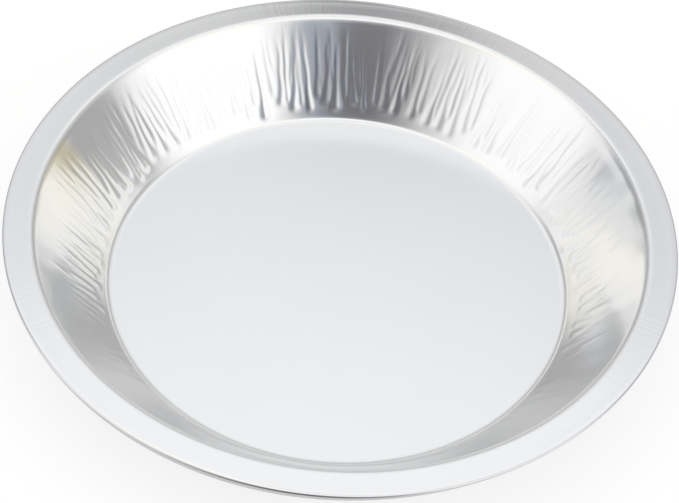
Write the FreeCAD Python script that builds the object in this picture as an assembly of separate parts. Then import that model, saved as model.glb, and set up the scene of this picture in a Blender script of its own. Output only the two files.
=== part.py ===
"""Foil pie tin: one sheet of aluminium foil pressed into a round dish.

The frame is in millimetres with +Z up. Its origin is the centre of the underside of the floor.
The sheet is drawn as a section in radius and height, from the floor's edge to the end of the curl.
Each station of the section lies on the food side, and the underside is one foil thickness away.
"""
import FreeCAD, Part
import math
import os
import random
from collections import namedtuple

# The sheet
foil = 0.1

# The dish: over the curl, across the floor's corner, from the table to the top of the flange
rim_diameter = 228.6
base_diameter = 160.4
tin_depth = 30.7

# The rim: from the end of the wall's upper bend to the outermost edge
rim_width = 9.0
curl_radius = 1.5
curl_turn = 240.0

# The two bends of the wall, as radii on the food side and the underside
floor_bend_radius = 2.0
rim_bend_radius = 2.2

# The gathers of the wall: how many, how deep from ridge to valley, and the plain bands beside them
pleat_count = 96
pleat_depth = 1.4
pleat_foot = 4.6
plain_head = 5.0

# How uneven the gathers are: shares of their pitch and depth, and of the wall's gathered length
pleat_seed = 11
angle_spread = 0.2
lean_spread = 0.45
depth_spread = 0.35
foot_spread = 1.4
middle_spread = 0.07
middle_place = 0.48
middle_fullness = 0.75

# Flat bands that stand for the round stretches of the section
bend_bands = 2
curl_bands = 8

axis_base = FreeCAD.Vector(0, 0, 0)
axis_up = FreeCAD.Vector(0, 0, 1)

# A point of the section, and the direction in which the section runs there, in radians
Station = namedtuple("Station", "radius height heading")

# One ridge or valley of the wall: its angle at the foot and at the head, its height towards the food,
# where its foot ends and how far its middle point is moved along the wall
Crease = namedtuple("Crease", "foot_angle head_angle height foot middle")


def further(station, distance):
    """The station a distance on, straight along the heading."""
    radius = station.radius + distance * math.cos(station.heading)
    height = station.height + distance * math.sin(station.heading)
    return Station(radius, height, station.heading)


def bend(start, radius, turn, bands):
    """The stations along an arc that starts at a station and turns by an angle, left if positive."""
    hand = math.copysign(1.0, turn)
    centre_radius = start.radius - hand * radius * math.sin(start.heading)
    centre_height = start.height + hand * radius * math.cos(start.heading)
    stations = []
    for band in range(1, bands + 1):
        heading = start.heading + turn * band / bands
        stations.append(Station(
            centre_radius + hand * radius * math.sin(heading),
            centre_height - hand * radius * math.cos(heading),
            heading,
        ))
    return stations


def wall_angle_and_length(run, rise):
    """Slope and length of the straight line that is tangent to both bends of the wall.

    The run and rise go from the floor's flat edge to the flange's flat edge.
    """
    both = floor_bend_radius + rim_bend_radius + foil
    length = math.sqrt(run**2 + (rise - both)**2 - both**2)
    slope = math.atan2(rise - both, run) + math.atan2(both, length)
    return slope, length


def floor_flat_radius():
    """Radius of the floor's flat, so that floor and wall lines cross on the base diameter."""
    rise = tin_depth - foil
    mouth = rim_diameter / 2 - rim_width
    flat = base_diameter / 2
    for _ in range(40):
        slope, _length = wall_angle_and_length(mouth - flat, rise)
        flat = base_diameter / 2 - floor_bend_radius * math.tan(slope / 2)
    return flat


def point(station, depth, angle):
    """A point at an angle round the tin, a depth below the food side of a station."""
    radius = station.radius + depth * math.sin(station.heading)
    height = station.height - depth * math.cos(station.heading)
    return FreeCAD.Vector(radius * math.cos(angle), radius * math.sin(angle), height)


def creases():
    """Ridges and valleys by turns round the wall, the gathers that the pressed foil folds into."""
    draw = random.Random(pleat_seed)
    pitch = 2 * math.pi / pleat_count
    ridges = []
    for number in range(pleat_count):
        angle = (number + draw.uniform(-angle_spread, angle_spread)) * pitch
        lean = draw.uniform(-lean_spread, lean_spread) * pitch
        height = pleat_depth / 2 * (1 - depth_spread * draw.random())
        foot = foot_spread * draw.uniform(-1, 1)
        middle = middle_spread * draw.uniform(-1, 1)
        ridges.append(Crease(angle, angle + lean, height, foot, middle))
    round_trip = ridges + [ridges[0]._replace(
        foot_angle=ridges[0].foot_angle + 2 * math.pi,
        head_angle=ridges[0].head_angle + 2 * math.pi,
    )]
    result = []
    for left, right in zip(round_trip, round_trip[1:]):
        result.append(left)
        result.append(Crease(
            (left.foot_angle + right.foot_angle) / 2,
            (left.head_angle + right.head_angle) / 2,
            -(left.height + right.height) / 2,
            (left.foot + right.foot) / 2,
            (left.middle + right.middle) / 2,
        ))
    return result


def plain_ring(station, depth, angles):
    """The corners of one ring where the sheet is smooth."""
    return [point(station, depth, angle) for angle in angles]


def foot_ring(wall_start, depth, folds):
    """The row where each gather has risen to its full depth, above its rounded foot."""
    ring = []
    for fold in folds:
        station = further(wall_start, pleat_foot + fold.foot)
        ring.append(point(station, depth - fold.height, fold.foot_angle))
    return ring


def middle_ring(wall_start, gathered, depth, folds):
    """The row half way up, where the gathers bend aside and grow shallower."""
    ring = []
    for fold in folds:
        share = middle_place + fold.middle
        station = further(wall_start, gathered * share)
        angle = fold.foot_angle + (fold.head_angle - fold.foot_angle) * middle_place
        ring.append(point(station, depth - fold.height * middle_fullness, angle))
    return ring


def patch(*corners):
    """A flat face between its corners."""
    return Part.Face(Part.makePolygon(list(corners) + [corners[0]]))


def smooth_band(lower, upper):
    """Flat four-sided faces between two smooth rings of the same angles."""
    faces = []
    for column in range(len(lower)):
        after = (column + 1) % len(lower)
        faces.append(patch(lower[column], lower[after], upper[after], upper[column]))
    return faces


def folded_band(lower, upper):
    """Flat triangles between two rings, with the diagonal always running from a ridge to a valley."""
    faces = []
    for column in range(len(lower)):
        after = (column + 1) % len(lower)
        if column % 2:
            faces.append(patch(lower[column], lower[after], upper[after]))
            faces.append(patch(lower[column], upper[after], upper[column]))
        else:
            faces.append(patch(lower[column], lower[after], upper[column]))
            faces.append(patch(lower[after], upper[after], upper[column]))
    return faces


def turned(start, start_depth, end, end_depth):
    """The band that a straight line between two stations sweeps round the tin."""
    line = Part.makeLine(point(start, start_depth, 0), point(end, end_depth, 0))
    return line.revolve(axis_base, axis_up, 360).Faces


def flange(inner_ring, outer, depth):
    """The flat of the rim, from the ring of the wall's upper bend to the start of the curl."""
    edge = Part.makeCircle(outer.radius, FreeCAD.Vector(0, 0, outer.height - depth))
    hole = Part.makePolygon(inner_ring + [inner_ring[0]])
    return Part.makeFace([Part.Wire([edge]), hole], "Part::FaceMakerBullseye").Faces


def side(depth, floor_edge, wall_start, length, wall_end, rim_flat, curl, folds):
    """All faces of one side of the sheet."""
    foot_angles = [fold.foot_angle for fold in folds]
    head_angles = [fold.head_angle for fold in folds]
    gathered = length - plain_head

    smooth = [plain_ring(floor_edge, depth, foot_angles)]
    for station in wall_start:
        smooth.append(plain_ring(station, depth, foot_angles))
    faces = [patch(*smooth[0])]
    for lower, upper in zip(smooth, smooth[1:]):
        faces += smooth_band(lower, upper)

    start = wall_start[-1]
    rows = [
        smooth[-1],
        foot_ring(start, depth, folds),
        middle_ring(start, gathered, depth, folds),
        plain_ring(further(start, gathered), depth, head_angles),
    ]
    for lower, upper in zip(rows, rows[1:]):
        faces += folded_band(lower, upper)

    head = [rows[-1]]
    for station in wall_end:
        head.append(plain_ring(station, depth, head_angles))
    for lower, upper in zip(head, head[1:]):
        faces += smooth_band(lower, upper)

    faces += flange(head[-1], rim_flat, depth)
    for lower, upper in zip([rim_flat] + curl, curl):
        faces += turned(lower, depth, upper, depth)
    return faces


def pie_tin():
    """The whole sheet as one closed solid."""
    flat = floor_flat_radius()
    mouth = rim_diameter / 2 - rim_width
    slope, length = wall_angle_and_length(mouth - flat, tin_depth - foil)

    floor_edge = Station(flat, foil, 0.0)
    wall_start = bend(floor_edge, floor_bend_radius, slope, bend_bands)
    wall_top = further(wall_start[-1], length)
    wall_end = [wall_top] + bend(wall_top, rim_bend_radius + foil, -slope, bend_bands)
    rim_flat = Station(rim_diameter / 2 - curl_radius, tin_depth, 0.0)
    curl = bend(rim_flat, curl_radius, -math.radians(curl_turn), curl_bands)

    folds = creases()
    faces = []
    for depth in (0.0, foil):
        faces += side(depth, floor_edge, wall_start, length, wall_end, rim_flat, curl, folds)
    faces += turned(curl[-1], 0.0, curl[-1], foil)

    shell = Part.makeShell(faces)
    shell.sewShape()
    solid = Part.makeSolid(shell)
    if solid.Volume < 0:
        solid.reverse()
    return solid


os.makedirs("parts", exist_ok=True)
tin = pie_tin()
tin.exportStep("parts/pie_tin.step")
print("pie_tin", "valid" if tin.isValid() else "not valid", "faces", len(tin.Faces))
print("volume", round(tin.Volume, 1), "mm3")
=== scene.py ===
import math
import random
from collections import namedtuple

import bpy
import numpy as np
from mathutils import Matrix, Vector


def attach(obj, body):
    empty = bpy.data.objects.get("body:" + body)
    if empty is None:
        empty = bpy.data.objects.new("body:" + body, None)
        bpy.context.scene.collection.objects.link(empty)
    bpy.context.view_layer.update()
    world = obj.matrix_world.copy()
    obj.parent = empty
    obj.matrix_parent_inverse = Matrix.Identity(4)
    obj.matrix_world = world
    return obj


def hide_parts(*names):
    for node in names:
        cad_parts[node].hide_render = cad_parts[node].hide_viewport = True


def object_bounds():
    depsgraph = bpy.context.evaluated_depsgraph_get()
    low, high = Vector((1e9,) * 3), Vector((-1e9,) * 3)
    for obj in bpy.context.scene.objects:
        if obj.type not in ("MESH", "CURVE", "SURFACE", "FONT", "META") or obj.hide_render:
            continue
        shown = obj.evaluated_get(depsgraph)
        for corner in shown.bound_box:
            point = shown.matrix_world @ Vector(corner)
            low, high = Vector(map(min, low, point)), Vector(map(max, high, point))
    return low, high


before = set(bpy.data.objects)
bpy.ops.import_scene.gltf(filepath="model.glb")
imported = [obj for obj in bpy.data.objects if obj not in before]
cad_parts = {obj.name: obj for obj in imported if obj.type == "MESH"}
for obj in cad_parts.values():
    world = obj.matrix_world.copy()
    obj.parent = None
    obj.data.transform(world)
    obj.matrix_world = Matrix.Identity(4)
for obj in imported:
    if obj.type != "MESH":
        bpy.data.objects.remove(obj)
cad_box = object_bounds()

# The tin in metres, from the frame's box and the CAD model's own sizes
rim_radius = float(cad_box[1][0])
tin_depth = float(cad_box[1][2])
foil = 0.0001
base_diameter = 0.1604
rim_width = 0.009
mouth_radius = rim_radius - rim_width
curl_radius = 0.0015
curl_turn = math.radians(240)
floor_bend_radius = 0.002
rim_bend_radius = 0.0022

# The gathers, drawn as the CAD model draws them
pleat_count = 96
pleat_pitch = 2 * math.pi / pleat_count
pleat_seed = 11
angle_spread = 0.2
lean_spread = 0.45
depth_spread = 0.35
foot_spread = 0.0014
pleat_foot = 0.0046

# The mesh: columns round the tin on the food side's wall, on the underside's wall and where the
# sheet is smooth
food_columns = 1536
under_columns = 512
plain_columns = 256

# Its rows on the floor, as shares of the flat's radius, and the last one's distance from the edge
floor_rows = (0.25, 0.5, 0.75, 0.94)
floor_last_row = 0.0009

# Its rows on the wall: close ones in the zone of the feet, those above it, and those in the bends
foot_zone = 0.009
foot_rows = 13
wall_rows = 18
floor_bend_rows = 3
rim_bend_rows = 4

# Its rows on the rim: two distances from the mouth, one from the curl, and how many are in the curl
flange_first_row = 0.0008
flange_middle_row = 0.0035
flange_last_row = 0.0007
curl_rows = 12

# A point of the section, and the direction in which the section runs there, in radians
Station = namedtuple("Station", "radius height heading")

# One gather: its angle at the foot, how far it leans, its height as a share, and where its foot is
Gather = namedtuple("Gather", "angle lean rise foot")

# One strand of a gather: its angles at the foot and head, how far it bends and wavers aside between
# them, the places on the wall where it starts and ends, its height, and its share of the broad foot
Strand = namedtuple("Strand", "foot_angle head_angle bend waver phase foot head rise blister")


def further(station, distance):
    """The station a distance on, straight along the heading."""
    radius = station.radius + distance * math.cos(station.heading)
    height = station.height + distance * math.sin(station.heading)
    return Station(radius, height, station.heading)


def bend(start, radius, turn, rows):
    """The stations along an arc that starts at a station and turns by an angle, left if positive."""
    hand = math.copysign(1.0, turn)
    centre_radius = start.radius - hand * radius * math.sin(start.heading)
    centre_height = start.height + hand * radius * math.cos(start.heading)
    stations = []
    for row in range(1, rows + 1):
        heading = start.heading + turn * row / rows
        stations.append(Station(
            centre_radius + hand * radius * math.sin(heading),
            centre_height - hand * radius * math.cos(heading),
            heading,
        ))
    return stations


def wall_angle_and_length(run, rise):
    """Slope and length of the straight line that is tangent to both bends of the wall."""
    both = floor_bend_radius + rim_bend_radius + foil
    length = math.sqrt(run**2 + (rise - both)**2 - both**2)
    slope = math.atan2(rise - both, run) + math.atan2(both, length)
    return slope, length


# How often the floor's flat is worked out again from the wall's slope, until it settles
flat_rounds = 40


def floor_flat_radius():
    """Radius of the floor's flat, so that floor and wall lines cross on the base diameter."""
    flat = base_diameter / 2
    for _ in range(flat_rounds):
        slope, _length = wall_angle_and_length(mouth_radius - flat, tin_depth - foil)
        flat = base_diameter / 2 - floor_bend_radius * math.tan(slope / 2)
    return flat


# A strand's half width and height at its rounded foot and further up, and the broad foot's length
foot_width = math.radians(1.18)
stem_width = math.radians(0.46)
foot_rise = 0.00031
stem_rise = 0.000105
foot_length = 0.012

# The strand's rounded nose: its length, how steeply it falls, and how far above the foot it is at full
# height, as a share of its length
nose_length = 0.0019
nose_steepness = 1.8
nose_top = 0.5

# How far along a strand its fade starts, and how far apart its wavers are
fade_start = 0.5
waver_length = 0.013

# Where the strands start, beside the gather's own foot, and where they end
foot_low = -0.002
foot_high = 0.001
head_low = 0.030
head_high = 0.038

# How unevenly the strands run, as shares of the pitch: the bend of the main and the finer ones, their
# waver, and how far the finer ones stray from their place and their lean
main_bend = 0.5
finer_bend = 0.4
waver_low = 0.005
waver_high = 0.04
place_spread = 0.12
finer_lean = 0.25

# The least and the most of a strand's height and of its broad foot
main_rise = (0.8, 1.2)
main_blister = (0.6, 1.1)
finer_rise = (0.6, 1.2)
finer_blister = (0.2, 1.6)

# Where the gathers are short and shallow: the middle of this on the near side, the half angles where
# it is full, where the shallowness ends and where the shortness ends, and what remains of both
calm_middle = math.radians(-79)
calm_full = math.radians(70)
calm_rise_end = math.radians(89)
calm_length_end = math.radians(120)
calm_rise = 0.45
calm_length = 0.45

# The finer strands between one gather and the next: how far over, how often, the least and the most
# by which they start further up, how high they are, and their share of the broad foot
Finer = namedtuple("Finer", "over chance low high rise blister")
finer_strands = (
    Finer(0.5, 0.95, 0.0012, 0.007, 0.85, 0.3),
    Finer(0.25, 0.6, 0.006, 0.017, 0.6, 0.0),
    Finer(0.75, 0.6, 0.006, 0.017, 0.6, 0.0),
)


def smooth(edge_low, edge_high, value):
    """A smooth step from 0 at the low edge to 1 at the high edge."""
    share = np.clip((value - edge_low) / (edge_high - edge_low), 0, 1)
    return share * share * (3 - 2 * share)


def calmed(strand):
    """A strand made shorter and shallower where it lies on the near side of the tin."""
    aside = abs((strand.head_angle - calm_middle + math.pi) % (2 * math.pi) - math.pi)
    shallow = float(smooth(calm_rise_end, calm_full, aside))
    short = float(smooth(calm_length_end, calm_full, aside))
    rise = strand.rise * (1 - shallow * (1 - calm_rise))
    length = (strand.head - strand.foot) * (1 - short * (1 - calm_length))
    return strand._replace(rise=rise, head=strand.foot + length)


def gathers():
    """The gathers as the CAD model draws them."""
    draw = random.Random(pleat_seed)
    result = []
    for number in range(pleat_count):
        angle = (number + draw.uniform(-angle_spread, angle_spread)) * pleat_pitch
        lean = draw.uniform(-lean_spread, lean_spread) * pleat_pitch
        rise = 1 - depth_spread * draw.random()
        foot = pleat_foot + foot_spread * draw.uniform(-1, 1)
        # The CAD model draws once more here, for its middle row, and this keeps in step with it
        draw.uniform(-1, 1)
        result.append(Gather(angle, lean, rise, foot))
    return result


def main_strand(draw, gather, foot):
    """The strand of a gather that starts from its broad, rounded foot."""
    return Strand(
        foot_angle=gather.angle,
        head_angle=gather.angle + gather.lean,
        bend=draw.uniform(-main_bend, main_bend) * pleat_pitch,
        waver=draw.uniform(waver_low, waver_high) * pleat_pitch,
        phase=draw.uniform(0, 2 * math.pi),
        foot=foot,
        head=draw.uniform(head_low, head_high),
        rise=gather.rise * draw.uniform(*main_rise),
        blister=draw.uniform(*main_blister),
    )


def finer_strand(draw, kind, gather, after, foot):
    """A finer strand of one kind between a gather and the one after it."""
    place = kind.over + draw.uniform(-place_spread, place_spread)
    angle = gather.angle + (after.angle - gather.angle) % (2 * math.pi) * place
    lean = gather.lean + (after.lean - gather.lean) * place
    return Strand(
        foot_angle=angle,
        head_angle=angle + lean + draw.uniform(-finer_lean, finer_lean) * pleat_pitch,
        bend=draw.uniform(-finer_bend, finer_bend) * pleat_pitch,
        waver=draw.uniform(waver_low, waver_high) * pleat_pitch,
        phase=draw.uniform(0, 2 * math.pi),
        foot=foot + draw.uniform(kind.low, kind.high),
        head=draw.uniform(head_low, head_high),
        rise=kind.rise * draw.uniform(*finer_rise),
        blister=kind.blister * draw.uniform(*finer_blister),
    )


def strands():
    """The strands of every gather: one from its rounded foot, and finer ones that start higher up."""
    draw = random.Random(pleat_seed + 1)
    drawn = gathers()
    result = []
    for number, gather in enumerate(drawn):
        after = drawn[(number + 1) % pleat_count]
        foot = gather.foot + draw.uniform(foot_low, foot_high)
        result.append(main_strand(draw, gather, foot))
        for kind in finer_strands:
            if draw.random() < kind.chance:
                result.append(finer_strand(draw, kind, gather, after, foot))
    return [calmed(strand) for strand in result]


def gathered_height(places, angles):
    """How far the wall stands in towards the food, for each row (place along the wall) and column."""
    cubes = np.zeros((len(places), len(angles)))
    for strand in strands():
        climb = np.clip((places - strand.foot) / (strand.head - strand.foot), 0, 1)
        centre = strand.foot_angle + (strand.head_angle - strand.foot_angle) * climb
        centre = centre + strand.bend * climb * (1 - climb)
        centre = centre + strand.waver * np.sin(2 * math.pi * places / waver_length + strand.phase)
        blister = strand.blister * smooth(foot_length, 0.0, places - strand.foot)
        width = stem_width + (foot_width - stem_width) * blister
        rise = stem_rise + (foot_rise - stem_rise) * blister
        below = np.minimum(places - strand.foot - nose_top * nose_length, 0) / nose_length
        fade = smooth(1.0, fade_start, climb) * np.exp(-nose_steepness * below**2)
        gap = (angles[None, :] - centre[:, None] + math.pi) % (2 * math.pi) - math.pi
        across = gap / width[:, None]
        peak = strand.rise * rise * fade
        cubes += (peak[:, None] * np.exp(-(across**2)))**3
    height = np.cbrt(cubes)
    height -= height.mean(axis=1, keepdims=True)
    return height


# How steeply the flange falls from the mouth to the curl
flange_droop = math.radians(0.7)

# How far the wall bows towards the food between its bends: it starts steep and flares to the rim
wall_bow = 0.0003


def section_rows(flat, slope, length):
    """The section's rows as (station, fine or plain), from the floor's middle to the end of the curl.

    It also gives the station at which the wall starts.
    """
    rows = []
    for share in floor_rows:
        rows.append((Station(flat * share, foil, 0.0), False))
    rows.append((Station(flat - floor_last_row, foil, 0.0), True))
    edge = Station(flat, foil, 0.0)
    rows.append((edge, True))
    start = bend(edge, floor_bend_radius, slope, floor_bend_rows)
    rows += [(station, True) for station in start]
    for row in range(1, foot_rows + 1):
        rows.append((further(start[-1], foot_zone * row / foot_rows), True))
    for row in range(1, wall_rows + 1):
        place = foot_zone + (length - foot_zone) * row / wall_rows
        rows.append((further(start[-1], place), True))
    top = further(start[-1], length)
    rim_bend = bend(top, rim_bend_radius + foil, -slope, rim_bend_rows)
    rows += [(station, True) for station in rim_bend]
    mouth = Station(mouth_radius, tin_depth, -flange_droop)
    flat_end = rim_width - curl_radius
    rows.append((further(mouth, flange_first_row), True))
    for out in (flange_middle_row, flat_end - flange_last_row, flat_end):
        rows.append((further(mouth, out), False))
    curl_start = rows[-1][0]._replace(heading=0.0)
    curl = bend(curl_start, curl_radius, -curl_turn, curl_rows)
    rows += [(station, False) for station in curl]
    return rows, start[-1]


# The wall's faint unevenness: waves round the tin as (how many, how high), how far they drift round
# at most, in radians for each metre of radius, and the length of their fade at the wall's ends
swells = ((3, 0.00006), (7, 0.00005), (13, 0.00003), (24, 0.00002), (41, 0.000014), (67, 0.000009))
swell_drift = 40
swell_fade = 0.004


def swell(radius, angles):
    """How far the wall swells towards the food at one radius, from waves that drift round the tin."""
    wave = random.Random(pleat_seed + 2)
    height = np.zeros_like(angles)
    for order, high in swells:
        phase = wave.uniform(0, 2 * math.pi)
        drift = wave.uniform(-swell_drift, swell_drift)
        height += high * np.sin(order * angles + phase + drift * radius)
    return height


def underside_height(height, ratio):
    """The wall's height on the underside's fewer columns, nowhere above the food side between them."""
    lowest = height.copy()
    for step in range(1, ratio + 1):
        lowest = np.minimum(lowest, np.roll(height, step, axis=1))
        lowest = np.minimum(lowest, np.roll(height, -step, axis=1))
    return lowest[:, ::ratio]


# The slope at which a gather's flank counts as wholly creased, and takes the full painted crease shade,
# and how nearly a station's heading has to be the wall's own, in radians, to be on its straight stretch
steep_flank = 0.14
same_heading = 1e-6


def wall_heights(stations, fine, wall_start, slope, length):
    """The wall's height and how creased it is, for each row and column of the food side."""
    angles = np.arange(food_columns) * 2 * math.pi / food_columns
    radii = np.array([station.radius for station in stations])
    places = (radii - wall_start.radius) / math.cos(slope)
    straight = np.array([abs(station.heading - slope) < same_heading for station in stations])
    on_wall = straight & np.array(fine)
    heights = np.zeros((len(stations), food_columns))
    heights[on_wall] = gathered_height(places[on_wall], angles)
    across = 2 * radii[:, None] * (2 * math.pi / food_columns)
    slopes = (np.roll(heights, -1, axis=1) - np.roll(heights, 1, axis=1)) / across
    creases = np.clip(np.abs(slopes) / steep_flank, 0, 1)
    fade = smooth(0.0, swell_fade, places) * smooth(length, length - swell_fade, places)
    for number in np.flatnonzero(on_wall):
        heights[number] += fade[number] * swell(radii[number], angles)
        heights[number] += wall_bow * math.sin(math.pi * places[number] / length)
    return heights, creases


# The curl is fullest at one angle and pressed to a share of that elsewhere, and the power says how
# narrow its full side is
curl_full_angle = math.radians(254)
curl_tight = 0.32
curl_power = 12


def curl_size(angles):
    """The curl's size round the tin, as a share of its full size."""
    full = (1 + np.cos(angles - curl_full_angle)) / 2
    return curl_tight + (1 - curl_tight) * full**curl_power


def ring_points(station, depth, columns, in_curl):
    """The points of one ring, a depth below the food side of its station.

    The curl's rings are drawn in towards the sharp corner of the rim, so that its size changes.
    """
    angles = np.arange(columns) * 2 * math.pi / columns
    size = curl_size(angles) if in_curl else np.ones(columns)
    radius = station.radius + depth * math.sin(station.heading)
    height = station.height - depth * math.cos(station.heading)
    radii = rim_radius - (rim_radius - radius) * size
    heights = tin_depth - (tin_depth - height) * size
    return list(zip(radii * np.cos(angles), radii * np.sin(angles), heights))


def tin_rings():
    """The tin's vertices, how creased each one is, and the rings of its food side and underside."""
    flat = floor_flat_radius()
    slope, length = wall_angle_and_length(mouth_radius - flat, tin_depth - foil)
    rows, wall_start = section_rows(flat, slope, length)
    stations = [row[0] for row in rows]
    fine = [row[1] for row in rows]
    food, creases = wall_heights(stations, fine, wall_start, slope, length)
    under = underside_height(food, food_columns // under_columns)
    under_creases = creases.reshape(len(stations), under_columns, -1).mean(axis=2)
    sides = ((food_columns, food, creases), (under_columns, under, under_creases))

    vertices = []
    creased = []
    rings = ([], [])
    for side, (columns, heights, shares) in enumerate(sides):
        for number, station in enumerate(stations):
            depth = side * foil - heights[number] if fine[number] else side * foil
            in_curl = number >= len(stations) - curl_rows - 1
            points = ring_points(station, depth, columns if fine[number] else plain_columns, in_curl)
            rings[side].append(range(len(vertices), len(vertices) + len(points)))
            vertices += points
            creased += list(shares[number]) if fine[number] else [0.0] * len(points)
    return vertices, creased, rings


def build_tin():
    """The tin as one closed shell: the food side, the underside and the edge inside the curl."""
    vertices, creased, rings = tin_rings()
    faces = []
    for side in (0, 1):
        faces += fan(len(vertices), rings[side][0], side)
        vertices.append((0.0, 0.0, foil * (1 - side)))
        creased.append(0.0)
        for lower, upper in zip(rings[side], rings[side][1:]):
            faces += strip(lower, upper, side)
    faces += strip(rings[0][-1], rings[1][-1], 0)

    mesh = bpy.data.meshes.new("pie_tin_foil")
    mesh.from_pydata(vertices, [], faces)
    mesh.validate()
    mesh.update()
    mesh.polygons.foreach_set("use_smooth", [True] * len(mesh.polygons))
    # How creased each vertex is, which the foil's colour uses as the mask of its painted crease shade
    mesh.attributes.new("crease", "FLOAT", "POINT").data.foreach_set("value", creased)
    tin = bpy.data.objects.new("pie_tin_foil", mesh)
    bpy.context.scene.collection.objects.link(tin)
    return tin


def turned(face, side):
    """A face's corners, reversed on the underside so that its front looks outwards."""
    return face if side == 0 else face[::-1]


def fan(centre, ring, side):
    """Triangles from a middle vertex to a ring."""
    faces = []
    for column in range(len(ring)):
        after = (column + 1) % len(ring)
        faces.append(turned((centre, ring[column], ring[after]), side))
    return faces


def strip(lower, upper, side):
    """Faces between two rings, also where one has a multiple of the other's columns."""
    faces = []
    if len(lower) == len(upper):
        for column in range(len(lower)):
            after = (column + 1) % len(lower)
            face = (lower[column], upper[column], upper[after], lower[after])
            faces.append(turned(face, side))
        return faces
    coarse, close, flip = (lower, upper, False) if len(lower) < len(upper) else (upper, lower, True)
    ratio = len(close) // len(coarse)
    for column in range(len(coarse)):
        after = (column + 1) % len(coarse)
        first = column * ratio
        nearest = [close[(first + step) % len(close)] for step in range(ratio + 1)]
        half = ratio // 2
        for step in range(ratio):
            corner = coarse[column] if step < half else coarse[after]
            face = (corner, nearest[step], nearest[step + 1])
            faces.append(turned(face[::-1] if flip else face, side))
        face = (coarse[column], nearest[half], coarse[after])
        faces.append(turned(face[::-1] if flip else face, side))
    return faces


# The detail of every noise
noise_detail = 3


class Tree:
    """The nodes of a material or of the world, with short calls for the kinds used here."""

    def __init__(self, owner):
        owner.use_nodes = True
        self.nodes = owner.node_tree.nodes
        self.links = owner.node_tree.links

    def feed(self, socket, value):
        """Gives a socket its value: another socket, a colour, a vector or a number."""
        if isinstance(value, bpy.types.NodeSocket):
            self.links.new(value, socket)
        elif socket.type == "RGBA":
            socket.default_value = (*value, 1)
        else:
            socket.default_value = value

    def parts(self, vector):
        """The parts X, Y and Z of a vector."""
        node = self.nodes.new("ShaderNodeSeparateXYZ")
        self.feed(node.inputs["Vector"], vector)
        return node.outputs

    def math(self, operation, *values):
        """A calculation with sockets or numbers."""
        node = self.nodes.new("ShaderNodeMath")
        node.operation = operation
        for number, value in enumerate(values):
            self.feed(node.inputs[number], value)
        return node.outputs["Value"]

    def vector(self, operation, *values):
        """A calculation with vectors, which gives a number only for a length."""
        node = self.nodes.new("ShaderNodeVectorMath")
        node.operation = operation
        for number, value in enumerate(values):
            self.feed(node.inputs[number], value)
        return node.outputs["Value" if operation == "LENGTH" else "Vector"]

    def ramp(self, source, start, end, first=0, last=1):
        """A smooth change from a first value to a last one while the source goes from start to end."""
        node = self.nodes.new("ShaderNodeMapRange")
        node.interpolation_type = "SMOOTHSTEP"
        self.feed(node.inputs["Value"], source)
        self.feed(node.inputs["From Min"], start)
        self.feed(node.inputs["From Max"], end)
        self.feed(node.inputs["To Min"], first)
        self.feed(node.inputs["To Max"], last)
        return node.outputs["Result"]

    def mixed(self, share, first, second):
        """Two colours mixed by a share."""
        node = self.nodes.new("ShaderNodeMixRGB")
        self.feed(node.inputs["Fac"], share)
        self.feed(node.inputs["Color1"], first)
        self.feed(node.inputs["Color2"], second)
        return node.outputs["Color"]

    def blended(self, share, first, second):
        """Two numbers mixed by a share."""
        kept = self.math("MULTIPLY", first, self.math("SUBTRACT", 1.0, share))
        return self.math("MULTIPLY_ADD", share, second, kept)

    def noise(self, place, scale=1):
        """Noise from 0 to 1."""
        node = self.nodes.new("ShaderNodeTexNoise")
        self.feed(node.inputs["Vector"], place)
        self.feed(node.inputs["Scale"], scale)
        self.feed(node.inputs["Detail"], noise_detail)
        return node.outputs["Fac"]

    def bumped(self, height, distance, normal=None):
        """A bump of a height from 0 to 1 times a distance in metres, over another normal."""
        node = self.nodes.new("ShaderNodeBump")
        node.inputs["Strength"].default_value = 1.0
        self.feed(node.inputs["Distance"], distance)
        self.feed(node.inputs["Height"], height)
        if normal:
            self.feed(node.inputs["Normal"], normal)
        return node.outputs["Normal"]


# The foil's colour on its bright and duller places, and the painted shade on its creases; its colour on
# its matt underside, and the painted shade on the creases there; the painted shade where it starts to
# curl; and the painted shade, standing in for a dark reflection, on the lower edge of the curl
bright_foil = (0.91, 0.916, 0.927)
dull_foil = (0.885, 0.892, 0.905)
painted_crease_shade = (0.83, 0.835, 0.845)
matt_foil = (0.64, 0.648, 0.665)
matt_painted_crease_shade = (0.44, 0.446, 0.46)
painted_curl_shade = (0.72, 0.726, 0.75)
painted_lip_shade = (0.56, 0.56, 0.575)

# Its roughness on the floor, the drawn wall, the stretched bends and the matt underside, and how much
# the mill lines add
floor_roughness = 0.17
wall_roughness = 0.125
bend_roughness = 0.22
matt_roughness = 0.32
grain_roughness = 0.05

# How close its mill lines are along the three axes, its clouds, and its drawn lines round the tin and
# up the wall, and how deep both kinds of line are
mill_scales = (14, 1500, 14)
cloud_scale = 38
drawn_round = 85
drawn_up = 22
mill_depth = 0.0000012
drawn_depth = 0.000014

# Where its finish and its painted shade change, from the start to the end of each change: by the upward
# part of the normal for the underside, else by radius or by height
flat_radius = floor_flat_radius()
underside_normal = (-0.05, -0.3)
# Where the painted shade of the curl's start lies, by radius
curl_shade_radius = (rim_radius - 0.0009, rim_radius - 0.0004)
# Where the painted shade on the curl's lower edge lies, by radius and by height
lip_shade_radius = (rim_radius - 0.0025, rim_radius - 0.0017)
lip_shade_height = (tin_depth - 0.0003, tin_depth - 0.0008)
rim_bend_side = (mouth_radius + 0.0008, mouth_radius + 0.0001)
rim_bend_height = (tin_depth - 0.0016, tin_depth - 0.0007)
floor_bend_side = (flat_radius - 0.0008, flat_radius + 0.0002)
floor_bend_height = (0.0016, 0.0008)
wall_finish_height = (0.001, 0.004)
drawn_height = (0.0015, 0.004)


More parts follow.
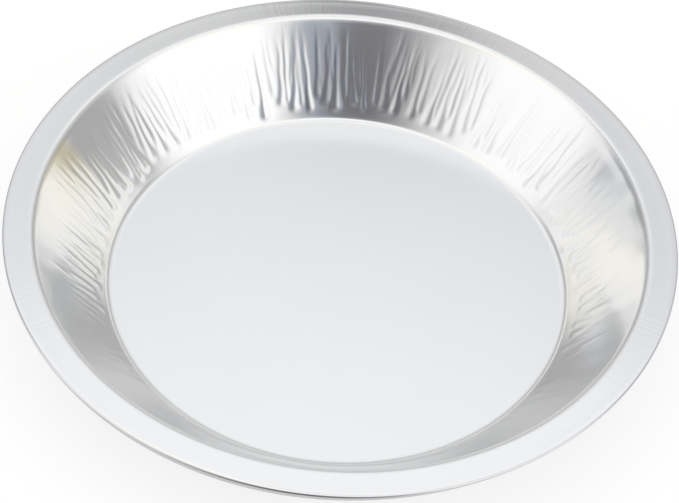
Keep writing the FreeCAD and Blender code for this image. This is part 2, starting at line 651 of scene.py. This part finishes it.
def round_the_tin(tree, place):
    """Coordinates for lines that run up the wall and out over the rim, close round the tin."""
    outwards = tree.vector("NORMALIZE", tree.vector("MULTIPLY", place, (1, 1, 0)))
    across = tree.vector("MULTIPLY", outwards, (drawn_round, drawn_round, 0))
    return tree.vector("ADD", across, tree.vector("MULTIPLY", place, (0, 0, drawn_up)))


def foil_colour(tree, place, radius, up, below):
    """The foil's colour: clouded, with painted shade on the creases, matt below, and painted shade on
    the curl.
    """
    crease = tree.nodes.new("ShaderNodeAttribute")
    crease.attribute_name = "crease"
    creased = crease.outputs["Fac"]
    colour = tree.mixed(tree.noise(place, cloud_scale), bright_foil, dull_foil)
    # Painted shade on the creased flanks of the food side
    colour = tree.mixed(creased, colour, painted_crease_shade)
    # Painted shade on the creased flanks of the matt underside
    matt_with_crease_shade = tree.mixed(creased, matt_foil, matt_painted_crease_shade)
    colour = tree.mixed(below, colour, matt_with_crease_shade)
    # Painted shade where the curl starts, which dims the bright highlight of its top
    colour = tree.mixed(tree.ramp(radius, *curl_shade_radius), colour, painted_curl_shade)
    # Painted shade on the lower outer face of the curl, standing in for a dark reflection below the rim
    outer = tree.ramp(radius, *lip_shade_radius)
    lower = tree.ramp(up, *lip_shade_height)
    return tree.mixed(tree.math("MULTIPLY", outer, lower), colour, painted_lip_shade)


def foil_roughness(tree, mill_lines, radius, up, below):
    """The foil's roughness: smoothest on the drawn wall, duller on the bends and the underside."""
    rim_side = tree.ramp(radius, *rim_bend_side)
    rim_up = tree.ramp(up, *rim_bend_height)
    floor_side = tree.ramp(radius, *floor_bend_side)
    floor_up = tree.ramp(up, *floor_bend_height)
    rim_bend = tree.math("MULTIPLY", rim_side, rim_up)
    floor_bend = tree.math("MULTIPLY", floor_side, floor_up)
    bent = tree.math("MAXIMUM", rim_bend, floor_bend)
    roughness = tree.ramp(up, *wall_finish_height, floor_roughness, wall_roughness)
    roughness = tree.blended(bent, roughness, bend_roughness)
    roughness = tree.blended(below, roughness, matt_roughness)
    return tree.math("MULTIPLY_ADD", mill_lines, grain_roughness, roughness)


def foil_normal(tree, mill_lines, place, up):
    """The foil's relief: mill lines across the sheet, and drawn lines on the wall and the rim."""
    drawn_lines = tree.noise(round_the_tin(tree, place))
    drawn = tree.math("MULTIPLY", drawn_lines, tree.ramp(up, *drawn_height))
    return tree.bumped(drawn, drawn_depth, tree.bumped(mill_lines, mill_depth))


def foil_material():
    """Rolled aluminium: bright inside, matt below, with mill lines, drawn lines and painted shade on the
    creases.
    """
    material = bpy.data.materials.new("foil")
    tree = Tree(material)
    shader = tree.nodes["Principled BSDF"]
    shader.inputs["Metallic"].default_value = 1.0
    coordinates = tree.nodes.new("ShaderNodeTexCoord").outputs
    place = coordinates["Object"]
    up = tree.parts(place)["Z"]
    radius = tree.vector("LENGTH", tree.vector("MULTIPLY", place, (1, 1, 0)))
    below = tree.ramp(tree.parts(coordinates["Normal"])["Z"], *underside_normal)
    mill_lines = tree.noise(tree.vector("MULTIPLY", place, mill_scales))
    tree.feed(shader.inputs["Base Color"], foil_colour(tree, place, radius, up, below))
    tree.feed(shader.inputs["Roughness"], foil_roughness(tree, mill_lines, radius, up, below))
    tree.feed(shader.inputs["Normal"], foil_normal(tree, mill_lines, place, up))
    return material


# The white table: its size, its colour to other light, and the colour and glow that the camera and the
# metal see, which together come to white
table_size = 12.0
table_colour = (0.8, 0.8, 0.8)
seen_colour = (0.32, 0.32, 0.32)
seen_glow = 0.74


def white_table_material():
    """A table that shows white to the camera and in the metal, and keeps a soft shadow."""
    material = bpy.data.materials.new("white_table")
    tree = Tree(material)
    tree.nodes.clear()
    plain = tree.nodes.new("ShaderNodeBsdfDiffuse")
    tree.feed(plain.inputs["Color"], table_colour)
    seen = tree.nodes.new("ShaderNodeBsdfDiffuse")
    tree.feed(seen.inputs["Color"], seen_colour)
    glow = tree.nodes.new("ShaderNodeEmission")
    tree.feed(glow.inputs["Strength"], seen_glow)
    both = tree.nodes.new("ShaderNodeAddShader")
    tree.feed(both.inputs[0], seen.outputs["BSDF"])
    tree.feed(both.inputs[1], glow.outputs["Emission"])
    path = tree.nodes.new("ShaderNodeLightPath").outputs
    in_view = tree.math("MAXIMUM", path["Is Camera Ray"], path["Is Glossy Ray"])
    in_view = tree.math("MAXIMUM", in_view, path["Is Transmission Ray"])
    mix = tree.nodes.new("ShaderNodeMixShader")
    tree.feed(mix.inputs["Fac"], in_view)
    tree.feed(mix.inputs[1], plain.outputs["BSDF"])
    tree.feed(mix.inputs[2], both.outputs["Shader"])
    output = tree.nodes.new("ShaderNodeOutputMaterial")
    tree.feed(output.inputs["Surface"], mix.outputs["Shader"])
    return material


def white_table():
    """The table that the tin stands on."""
    bpy.ops.mesh.primitive_plane_add(size=table_size, location=(0, 0, 0))
    floor = bpy.context.active_object
    floor.name = "floor"
    floor.data.materials.append(white_table_material())


# What the camera sees round the table in place of the studio
plain_white = (1.0, 1.0, 1.0)

# The studio's sky round the tin: its colour at the table, and the colours that it changes to between
# two elevations, in degrees
sky_base = (0.5, 0.495, 0.49)
sky_steps = (
    (12, 28, (0.65, 0.645, 0.635)),
    (37, 52.8, (0.98, 0.989, 1.0)),
    (60, 74, (1.04, 1.02, 0.97)),
    (79, 86, (0.72, 0.725, 0.735)),
)

# A soft patch of the studio: its azimuth and elevation, the half angles where it is full and where it
# ends, sideways and upwards, all in degrees, and its colour. Azimuth -90 is the camera's side, and a
# later patch lies over an earlier one.
Patch = namedtuple("Patch", "azimuth elevation wide wide_end high high_end colour")
studio = (
    # Behind the tin
    Patch(70, 44.5, 4, 15, 3, 6.5, (0.72, 0.72, 0.735)),
    Patch(110, 44.5, 4, 14, 3, 7, (0.77, 0.775, 0.79)),
    Patch(93, 45.5, 2, 7, 1, 3, (0.87, 0.895, 0.895)),
    Patch(89, 37.5, 2, 5, 3, 5, (0.1, 0.1, 0.11)),
    Patch(62, 23, 10, 22, 4, 10, (0.46, 0.455, 0.445)),
    Patch(118, 22, 10, 22, 5, 11, (0.44, 0.435, 0.43)),
    Patch(84, 33, 2, 9, 3, 7, (0.73, 0.725, 0.715)),
    Patch(90, 5, 14, 22, 6, 13, (0.68, 0.68, 0.685)),
    # Behind it to the sides
    Patch(28, 46, 8, 16, 6, 12, (0.5, 0.5, 0.49)),
    Patch(10, 30, 3, 9, 4, 8, (0.5, 0.5, 0.49)),
    Patch(145, 41, 10, 18, 7, 13, (0.5, 0.5, 0.49)),
    # Low at the sides
    Patch(33, 3, 6, 14, 4, 6.5, (1.08, 1.04, 0.97)),
    Patch(32, 16, 10, 16, 4, 6.5, (0.34, 0.335, 0.34)),
    Patch(33, 10, 6, 11, 2.3, 4.4, (0.5, 0.45, 0.28)),
    Patch(157, 7, 12, 22, 6, 12, (0.88, 0.88, 0.87)),
    # The bright walls and softboxes at both sides of the camera, and a dim gap in one
    Patch(-32, 26, 17, 44, 19, 34, (1.15, 1.145, 1.14)),
    Patch(-160, 24, 13, 43, 19, 34, (1.1, 1.085, 1.075)),
    Patch(-27, 50, 21, 37, 7, 12, (1.16, 1.115, 0.995)),
    Patch(-158, 50, 22, 36, 8, 14, (1.17, 1.125, 1.0)),
    Patch(-130, 43.5, 5, 13, 2, 5, (0.72, 0.72, 0.73)),
    # Dim places at the sides
    Patch(13, 20, 7, 13, 5, 9, (0.43, 0.425, 0.43)),
    Patch(160, 20, 4, 9, 4.6, 8, (0.27, 0.28, 0.325)),
    Patch(152, 16.6, 4, 8, 4, 6, (0.2, 0.21, 0.24)),
    Patch(144, 13.6, 4, 7, 4.7, 6.5, (0.18, 0.18, 0.185)),
    # The dim place at the camera, and the pale panel over it
    Patch(-91, 17, 6, 36, 9, 14, (0.27, 0.27, 0.285)),
    Patch(-91, 33.5, 6, 36, 6.5, 15.5, (0.18, 0.18, 0.195)),
    Patch(-74, 36, 3, 9, 6, 12, (0.37, 0.4, 0.455)),
    Patch(-90, 66, 40, 70, 9, 16, (1.12, 1.12, 1.12)),
)


def within(tree, angle, full, end):
    """A share that is 1 while an angle is within a full half angle and fades to 0 at its end."""
    return tree.ramp(tree.math("ABSOLUTE", angle), math.radians(end), math.radians(full))


def patch_share(tree, patch, azimuth, elevation):
    """How much of a patch is seen in one direction."""
    aside = tree.math("SUBTRACT", azimuth, math.radians(patch.azimuth))
    aside = tree.math("WRAP", aside, math.pi, -math.pi)
    above = tree.math("SUBTRACT", elevation, math.radians(patch.elevation))
    sideways = within(tree, aside, patch.wide, patch.wide_end)
    upwards = within(tree, above, patch.high, patch.high_end)
    return tree.math("MULTIPLY", sideways, upwards)


def studio_world():
    """The studio that lights the tin and is mirrored in it, while the camera itself sees plain white."""
    world = bpy.data.worlds.new("studio")
    bpy.context.scene.world = world
    tree = Tree(world)
    direction = tree.parts(tree.nodes.new("ShaderNodeTexCoord").outputs["Generated"])
    azimuth = tree.math("ARCTAN2", direction["Y"], direction["X"])
    elevation = tree.math("ARCSINE", direction["Z"])
    colour = sky_base
    for start, end, upper in sky_steps:
        share = tree.ramp(elevation, math.radians(start), math.radians(end))
        colour = tree.mixed(share, colour, upper)
    for patch in studio:
        colour = tree.mixed(patch_share(tree, patch, azimuth, elevation), colour, patch.colour)
    seen = tree.nodes.new("ShaderNodeLightPath").outputs["Is Camera Ray"]
    background = tree.nodes["Background"]
    tree.feed(background.inputs["Color"], tree.mixed(seen, colour, plain_white))
    background.inputs["Strength"].default_value = 1.0


# The photograph's view of the tin: its elevation and roll, its distance, the picture's size, the focal
# length in pixels, and the pixel at which the floor's centre shows
view_elevation = math.radians(47.71)
view_roll = math.radians(4.79)
view_distance = 6.0029 * rim_radius
picture_width = 679
picture_height = 503
focal_pixels = 1953.6
centre_pixel = (337.51, 279.20)
sensor_width = 36.0
nearest_seen = 0.01


def photo_camera():
    """The camera of the photograph, fitted to the edges of the rim, the wall and the floor."""
    right = Vector((1, 0, 0))
    ahead = Vector((0, math.cos(view_elevation), -math.sin(view_elevation)))
    up = Vector((0, math.sin(view_elevation), math.cos(view_elevation)))
    side = right * math.cos(view_roll) + up * math.sin(view_roll)
    top = up * math.cos(view_roll) - right * math.sin(view_roll)
    across = (centre_pixel[0] - picture_width / 2) / focal_pixels
    above = -(centre_pixel[1] - picture_height / 2) / focal_pixels
    place = (side * across + top * above + ahead) * -view_distance
    data = bpy.data.cameras.new("photo_camera")
    data.sensor_width = sensor_width
    data.lens = focal_pixels / picture_width * sensor_width
    data.clip_start = nearest_seen
    camera = bpy.data.objects.new("photo_camera", data)
    bpy.context.scene.collection.objects.link(camera)
    turn = Matrix((side, top, -ahead)).transposed().to_4x4()
    camera.matrix_world = Matrix.Translation(place) @ turn
    bpy.context.scene.camera = camera


photo_camera()
studio_world()
white_table()

tin = build_tin()
tin.data.materials.append(foil_material())
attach(tin, "root")
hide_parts("pie_tin")

bpy.context.scene.view_settings.view_transform = "Standard"
